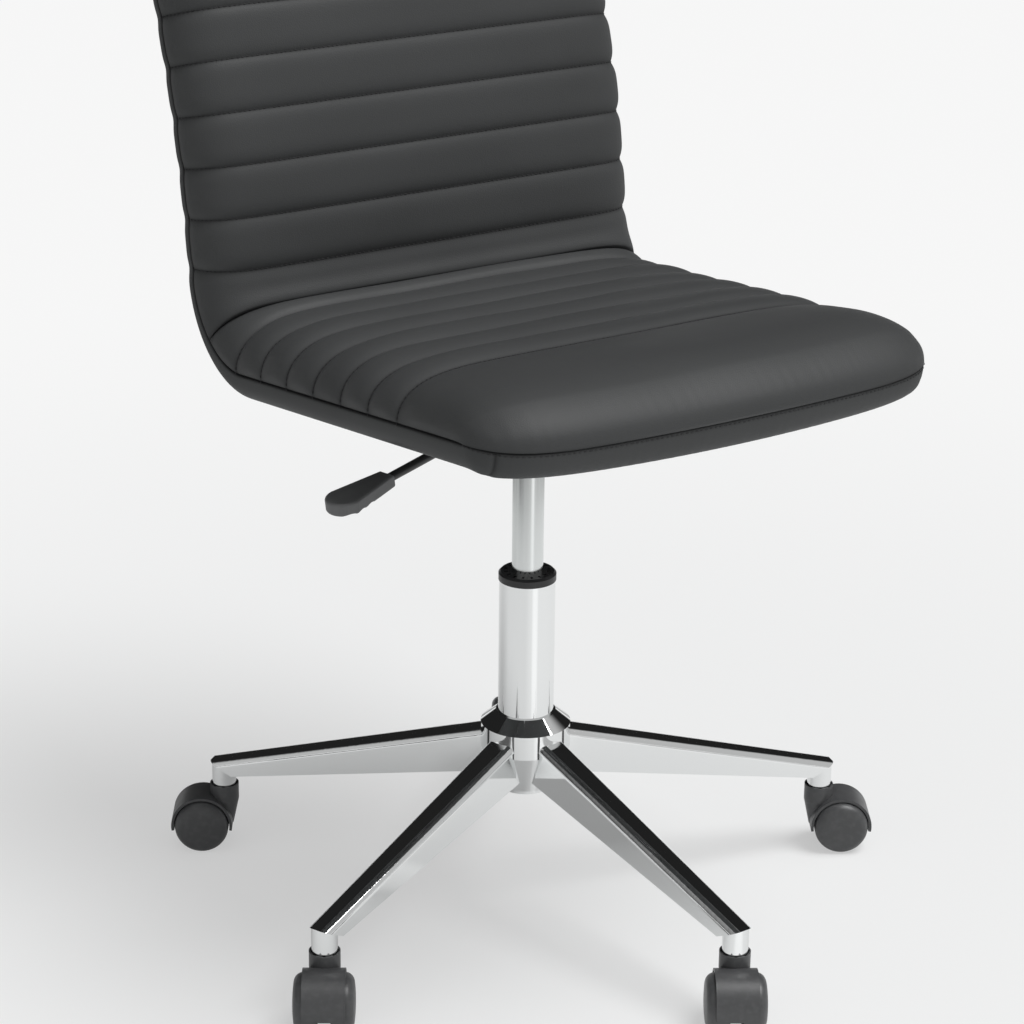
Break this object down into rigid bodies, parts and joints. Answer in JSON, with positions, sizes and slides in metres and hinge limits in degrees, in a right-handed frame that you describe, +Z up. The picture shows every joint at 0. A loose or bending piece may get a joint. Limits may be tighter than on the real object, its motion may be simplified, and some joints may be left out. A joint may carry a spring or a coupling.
{
  "type": "office chair",
  "caption": "Armless mid-back office chair with a ribbed leatherette one-piece seat and back, a gas lift with a side lever, and a chrome star base on twin-wheel casters.",
  "frame": {"origin": "on the floor, under the column's axis", "axes": "+Z up along the column, -Y the way the sitter faces, -X the lever's side"},
  "size_m": [0.6528, 0.6742, 1.0217],
  "materials": {
    "chrome": "polished chrome plate",
    "steel": "bright zinc plated steel",
    "zinc": "satin plated tube",
    "black_steel": "satin black powder coat",
    "black_plastic": "moulded, fine grain",
    "nylon": "moulded nylon, soft gloss",
    "rubber": "matt rubber",
    "plywood": "raw beech plywood",
    "leather": "fine grain leatherette, soft sheen"
  },
  "bodies": {
    "base": {"base_hub": "chrome", "base_arm_1": "chrome", "base_arm_2": "chrome", "base_arm_3": "chrome", "base_arm_4": "chrome", "base_arm_5": "chrome", "caster_socket_1": "chrome", "caster_socket_2": "chrome", "caster_socket_3": "chrome", "caster_socket_4": "chrome", "caster_socket_5": "chrome", "caster_stems": "steel", "stem_grip_rings": "steel", "column_tube": "chrome", "column_bush": "black_plastic", "bearing_lower_race": "steel", "bearing_ball_cage": "steel"},
    "rotor": {"piston_rod": "steel", "bearing_upper_race": "steel", "bump_stop": "rubber", "rod_clip": "steel"},
    "seat": {"gas_cylinder": "zinc", "taper_socket": "black_steel", "seat_plate": "black_steel", "plate_bolts": "steel", "bolt_washers": "steel", "tee_nuts": "steel", "ply_shell": "plywood", "seat_pad": "leather", "back_pad": "leather", "seat_under_cover": "leather", "back_cover": "leather", "lever_bracket": "black_steel", "lever_pivot": "steel"},
    "lever": {"lever_rod": "black_steel", "lever_handle": "black_plastic"},
    "pin": {"release_pin": "steel"},
    "caster_1": {"caster_hood_1": "nylon", "caster_axle_1": "steel"},
    "wheel_left_1": {"caster_wheel_left_1": "nylon"},
    "wheel_right_1": {"caster_wheel_right_1": "nylon"},
    "caster_2": {"caster_hood_2": "nylon", "caster_axle_2": "steel"},
    "wheel_left_2": {"caster_wheel_left_2": "nylon"},
    "wheel_right_2": {"caster_wheel_right_2": "nylon"},
    "caster_3": {"caster_hood_3": "nylon", "caster_axle_3": "steel"},
    "wheel_left_3": {"caster_wheel_left_3": "nylon"},
    "wheel_right_3": {"caster_wheel_right_3": "nylon"},
    "caster_4": {"caster_hood_4": "nylon", "caster_axle_4": "steel"},
    "wheel_left_4": {"caster_wheel_left_4": "nylon"},
    "wheel_right_4": {"caster_wheel_right_4": "nylon"},
    "caster_5": {"caster_hood_5": "nylon", "caster_axle_5": "steel"},
    "wheel_left_5": {"caster_wheel_left_5": "nylon"},
    "wheel_right_5": {"caster_wheel_right_5": "nylon"}
  },
  "joints": [
    {"name": "seat_swivel", "type": "hinge", "parent": "base", "child": "rotor", "pos_m": [0, 0, 0.11], "axis": [0, 0, 1], "continuous": true},
    {"name": "seat_lift", "type": "slide", "parent": "rotor", "child": "seat", "axis": [0, 0, 1], "range_m": [-0.105, 0]},
    {"name": "lever_lift", "type": "hinge", "parent": "seat", "child": "lever", "pos_m": [-0.0602, -0.01501, 0.46092], "axis": [-0.2419, 0.9703, 0], "range_deg": [0, 4], "stiffness_Nm_per_rad": 6, "springref_deg": -5.16},
    {"name": "pin_press", "type": "slide", "parent": "seat", "child": "pin", "axis": [0, 0, -1], "range_m": [0, 0.0046]},
    {"name": "caster_swivel_1", "type": "hinge", "parent": "base", "child": "caster_1", "pos_m": [0.15753, 0.24823, 0.05], "axis": [0, 0, 1], "continuous": true},
    {"name": "wheel_left_spin_1", "type": "hinge", "parent": "caster_1", "child": "wheel_left_1", "pos_m": [0.16878, 0.26596, 0.025], "axis": [-0.8443, 0.5358, 0], "continuous": true},
    {"name": "wheel_right_spin_1", "type": "hinge", "parent": "caster_1", "child": "wheel_right_1", "pos_m": [0.16878, 0.26596, 0.025], "axis": [-0.8443, 0.5358, 0], "continuous": true},
    {"name": "caster_swivel_2", "type": "hinge", "parent": "base", "child": "caster_2", "pos_m": [-0.1874, 0.22653, 0.05], "axis": [0, 0, 1], "continuous": true},
    {"name": "wheel_left_spin_2", "type": "hinge", "parent": "caster_2", "child": "wheel_left_2", "pos_m": [-0.20513, 0.23778, 0.025], "axis": [-0.5358, -0.8443, 0], "continuous": true},
    {"name": "wheel_right_spin_2", "type": "hinge", "parent": "caster_2", "child": "wheel_right_2", "pos_m": [-0.20513, 0.23778, 0.025], "axis": [-0.5358, -0.8443, 0], "continuous": true},
    {"name": "caster_swivel_3", "type": "hinge", "parent": "base", "child": "caster_3", "pos_m": [-0.27335, -0.10823, 0.05], "axis": [0, 0, 1], "continuous": true},
    {"name": "wheel_left_spin_3", "type": "hinge", "parent": "caster_3", "child": "wheel_left_3", "pos_m": [-0.28461, -0.12596, 0.025], "axis": [0.8443, -0.5358, 0], "continuous": true},
    {"name": "wheel_right_spin_3", "type": "hinge", "parent": "caster_3", "child": "wheel_right_3", "pos_m": [-0.28461, -0.12596, 0.025], "axis": [0.8443, -0.5358, 0], "continuous": true},
    {"name": "caster_swivel_4", "type": "hinge", "parent": "base", "child": "caster_4", "pos_m": [0.01846, -0.29342, 0.05], "axis": [0, 0, 1], "continuous": true},
    {"name": "wheel_left_spin_4", "type": "hinge", "parent": "caster_4", "child": "wheel_left_4", "pos_m": [0.00721, -0.31115, 0.025], "axis": [0.8443, -0.5358, 0], "continuous": true},
    {"name": "wheel_right_spin_4", "type": "hinge", "parent": "caster_4", "child": "wheel_right_4", "pos_m": [0.00721, -0.31115, 0.025], "axis": [0.8443, -0.5358, 0], "continuous": true},
    {"name": "caster_swivel_5", "type": "hinge", "parent": "base", "child": "caster_5", "pos_m": [0.28476, -0.07311, 0.05], "axis": [0, 0, 1], "continuous": true},
    {"name": "wheel_left_spin_5", "type": "hinge", "parent": "caster_5", "child": "wheel_left_5", "pos_m": [0.30249, -0.08437, 0.025], "axis": [0.5358, 0.8443, 0], "continuous": true},
    {"name": "wheel_right_spin_5", "type": "hinge", "parent": "caster_5", "child": "wheel_right_5", "pos_m": [0.30249, -0.08437, 0.025], "axis": [0.5358, 0.8443, 0], "continuous": true}
  ],
  "couplings": [
    {"joint": "pin_press", "follows": "lever_lift", "m_per_rad": 0.062}
  ]
}
